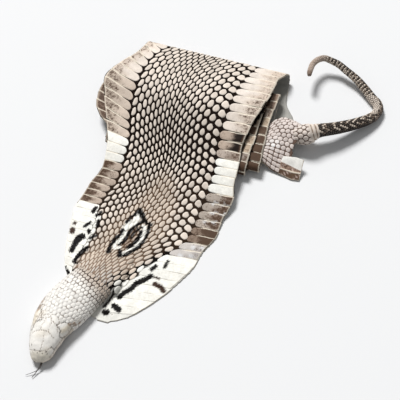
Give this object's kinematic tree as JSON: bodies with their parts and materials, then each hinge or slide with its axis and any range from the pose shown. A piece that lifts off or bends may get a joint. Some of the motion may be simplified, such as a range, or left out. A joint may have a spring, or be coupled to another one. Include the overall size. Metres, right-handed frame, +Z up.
{
  "type": "cobra skin",
  "caption": "Dried snake hide with head, spread hood and tail left on, rolled up loosely from the tail end with the scale side out.",
  "frame": {"origin": "centre of the underside, on the surface the hide lies on", "axes": "+Y along the body from the snout towards the roll, +X along the roll towards the tail, +Z up from the surface"},
  "size_m": [0.2243, 0.3281, 0.0212],
  "materials": {
    "scaled_skin": "semi-gloss tanned scales, beige on a dark brown net",
    "tongue": "matte, dried dark grey"
  },
  "bodies": {
    "root": {"hide": "scaled_skin", "tongue": "tongue"}
  },
  "joints": []
}
